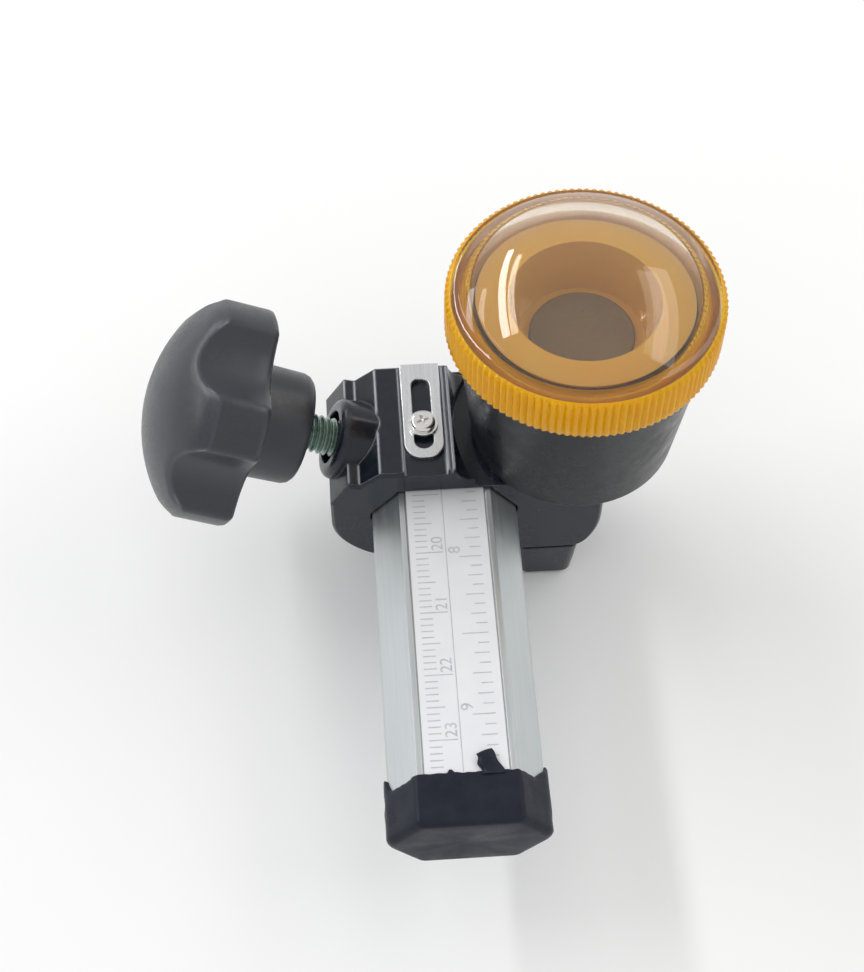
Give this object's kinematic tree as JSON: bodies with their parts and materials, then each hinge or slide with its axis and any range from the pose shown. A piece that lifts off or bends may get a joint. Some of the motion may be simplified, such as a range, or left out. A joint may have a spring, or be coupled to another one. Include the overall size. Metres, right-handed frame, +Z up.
{
  "type": "strip glass cutter head on beam",
  "caption": "Sliding glass cutter head on a graduated aluminium beam, with clamp knob, slotted pointer, amber oil cup and swivelling cutting wheel.",
  "frame": {"origin": "mouth of the threaded hole in the rear plug, on the beam's axis", "axes": "+X across the beam towards the oil cup, +Y along the beam out of the rear plug, +Z up from the scale face"},
  "size_m": [0.0844, 0.0828, 0.0669],
  "materials": {
    "anodised_aluminium": "satin drawn aluminium with bright edges",
    "scale_tape": "white printed scale tape",
    "black_vinyl": "soft black dipped cap, slightly shiny",
    "black_moulding": "glossy blue-black moulding",
    "knob_moulding": "charcoal moulding, fine matt grain",
    "brass": "machined brass",
    "stainless": "brushed along its length",
    "bright_screw": "bright plated screw",
    "zinc_stud": "zinc-plated thread, faint green",
    "amber_clear": "clear amber moulding, polished dome",
    "amber_cup": "amber inner cup",
    "brown_felt": "oil-soaked felt",
    "black_rubber": "soft sealing ring",
    "tool_steel": "ground tool steel"
  },
  "bodies": {
    "beam": {"beam": "anodised_aluminium", "scale_tape": "scale_tape", "end_cap": "black_vinyl", "rear_plug": "black_moulding"},
    "slider": {"slider_body": "black_moulding", "clamp_insert": "tool_steel", "pointer_insert": "brass", "pointer_washer": "stainless", "pointer_screw": "bright_screw", "head_housing": "black_moulding", "housing_screws": "bright_screw", "oil_cup": "amber_cup", "felt_disc": "brown_felt", "oil_wick": "brown_felt", "foot": "black_moulding", "foot_screws": "bright_screw", "guide_bush": "brass"},
    "pointer": {"pointer_plate": "stainless"},
    "clamp_feed": {"clamp_pad": "brass"},
    "knob": {"clamp_knob": "knob_moulding", "clamp_stud": "zinc_stud"},
    "seal": {"reservoir_seal": "black_rubber"},
    "cap": {"reservoir_cap": "amber_clear"},
    "turret": {"wheel_holder": "tool_steel", "wheel_axle": "tool_steel", "retaining_ring": "tool_steel"},
    "wheel": {"cutting_wheel": "tool_steel"}
  },
  "joints": [
    {"name": "slider_slide", "type": "slide", "parent": "beam", "child": "slider", "axis": [0, 1, 0], "range_m": [-0.042, 0]},
    {"name": "pointer_slide", "type": "slide", "parent": "slider", "child": "pointer", "axis": [0, 1, 0], "range_m": [-0.007, 0.003]},
    {"name": "pad_feed", "type": "slide", "parent": "slider", "child": "clamp_feed", "axis": [-0.9249, 0.0647, 0.3746], "range_m": [0, 0.003]},
    {"name": "knob_turn", "type": "hinge", "parent": "clamp_feed", "child": "knob", "pos_m": [-0.00839, -0.01257, 0.00394], "axis": [-0.9249, 0.0647, 0.3746], "range_deg": [0, 1080]},
    {"name": "seal_lift", "type": "slide", "parent": "slider", "child": "seal", "axis": [0, 0, 1], "range_m": [0, 0.005]},
    {"name": "cap_turn", "type": "hinge", "parent": "seal", "child": "cap", "pos_m": [0.0201, -0.012, 0.036], "axis": [0, 0, 1], "range_deg": [0, 720]},
    {"name": "holder_swivel", "type": "hinge", "parent": "slider", "child": "turret", "pos_m": [0.0165, -0.0145, -0.01], "axis": [0, 0, 1], "range_deg": [-15, 15]},
    {"name": "wheel_spin", "type": "hinge", "parent": "turret", "child": "wheel", "pos_m": [0.0165, -0.0145, -0.0185], "axis": [1, 0, 0], "continuous": true}
  ],
  "couplings": [
    {"joint": "knob_turn", "follows": "pad_feed", "rad_per_m": 6283.2},
    {"joint": "cap_turn", "follows": "seal_lift", "rad_per_m": 2513.3}
  ]
}
